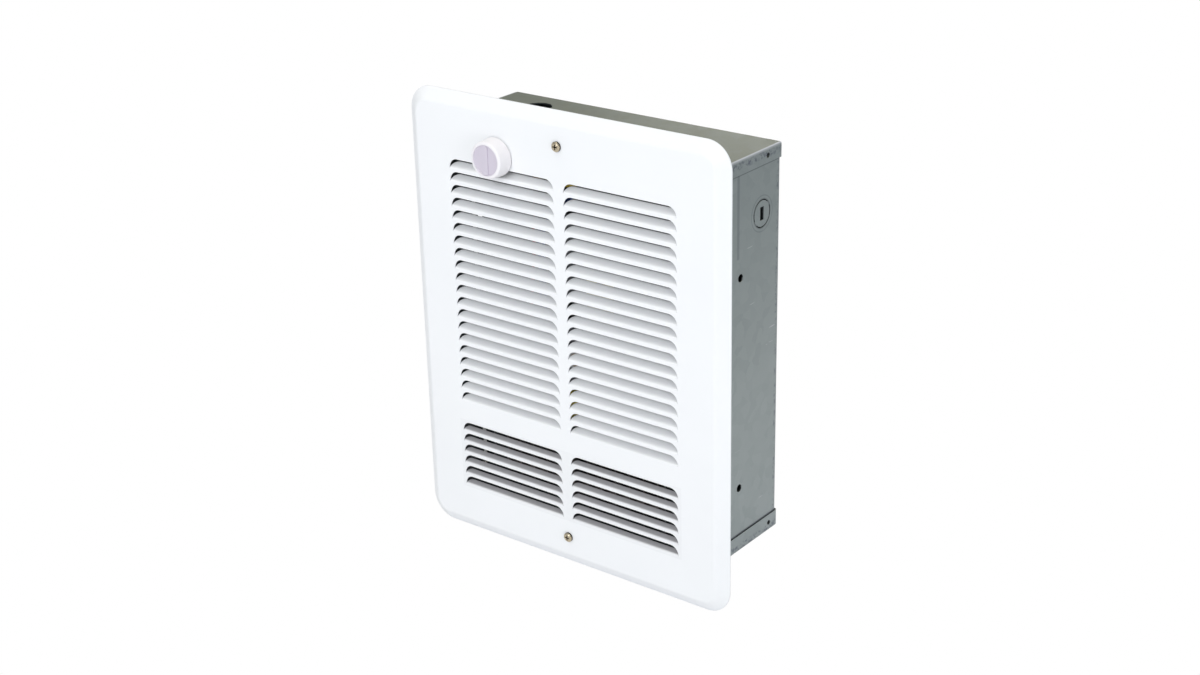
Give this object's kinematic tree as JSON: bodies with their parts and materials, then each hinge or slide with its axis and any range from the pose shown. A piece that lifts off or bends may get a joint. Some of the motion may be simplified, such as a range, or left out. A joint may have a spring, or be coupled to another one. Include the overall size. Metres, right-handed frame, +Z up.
{
  "type": "recessed wall heater",
  "caption": "Recessed electric wall heater: louvred white steel grille over a galvanised wall can that holds a blower, finned element and thermostat with a turning knob.",
  "frame": {"origin": "middle of the grille on the finished face of the wall", "axes": "+X to the right as seen from the room, +Y into the wall, +Z up"},
  "size_m": [0.3048, 0.1225, 0.381],
  "materials": {
    "white_enamel": "satin powder coat",
    "plated_screws": "nickel plated",
    "galvanised_sheet": "galvanised",
    "galvanised_inner": "galvanised",
    "white_plastic": "moulded",
    "plated_steel": "zinc plated",
    "black_phenolic": "moulded",
    "brass": "turned",
    "bimetal": "rolled",
    "tinned_brass": "tinned",
    "wheel_aluminium": "mill",
    "hub_aluminium": "die cast",
    "blackened_steel": "black oxide",
    "ground_steel": "ground",
    "rotor_steel": "turned",
    "lamination_steel": "varnished laminations",
    "coil_tape": "wrapped tape",
    "frame_zinc": "die cast",
    "bearing_bronze": "sintered",
    "yellow_zinc": "yellow zinc plated",
    "green_screw": "green plated",
    "sheath_steel": "heat tinted",
    "fin_steel": "heat tinted",
    "ceramic": "ceramic",
    "limit_phenolic": "moulded",
    "black_wire": "insulated wire",
    "red_wire": "insulated wire",
    "white_wire": "insulated wire",
    "blue_wire": "insulated wire",
    "yellow_nylon": "moulded"
  },
  "bodies": {
    "heater": {"grille": "white_enamel", "grille_screws": "plated_screws", "can_wrap": "galvanised_sheet", "can_top": "galvanised_sheet", "can_bottom": "galvanised_sheet", "thermostat_body": "black_phenolic", "thermostat_nut": "brass", "bimetal_strip": "bimetal", "thermostat_terminals": "tinned_brass", "thermostat_bracket": "galvanised_inner", "fan_deck": "galvanised_inner", "scroll_back": "galvanised_inner", "scroll_wrap": "galvanised_inner", "motor_stator": "lamination_steel", "motor_coil": "coil_tape", "motor_front_frame": "frame_zinc", "motor_rear_frame": "frame_zinc", "motor_bearings": "bearing_bronze", "motor_strap": "yellow_zinc", "motor_screws": "plated_steel", "motor_nuts": "plated_steel", "deck_screws": "plated_steel", "chassis_screws": "plated_steel", "ground_screw": "green_screw", "outlet_duct": "galvanised_inner", "element_sheath": "sheath_steel", "element_fins": "fin_steel", "element_brackets": "galvanised_inner", "element_insulators": "ceramic", "element_terminals": "tinned_brass", "limit_switch": "limit_phenolic", "limit_terminals": "tinned_brass", "limit_screws": "plated_steel", "line_lead": "black_wire", "load_lead": "red_wire", "limit_lead": "red_wire", "neutral_lead": "white_wire", "motor_leads": "blue_wire", "wire_connectors": "yellow_nylon"},
    "thermostat_dial": {"thermostat_knob": "white_plastic", "thermostat_stem": "plated_steel"},
    "blower": {"blower_wheel": "wheel_aluminium", "wheel_hub": "hub_aluminium", "hub_set_screw": "blackened_steel", "motor_shaft": "ground_steel", "motor_rotor": "rotor_steel"}
  },
  "joints": [
    {"name": "thermostat_knob_turn", "type": "hinge", "parent": "heater", "child": "thermostat_dial", "pos_m": [-0.06, 0, 0.1466], "axis": [0, 1, 0], "range_deg": [0, 290]},
    {"name": "blower_spin", "type": "hinge", "parent": "heater", "child": "blower", "pos_m": [0, 0.048, -0.015], "axis": [0, 1, 0], "continuous": true}
  ]
}
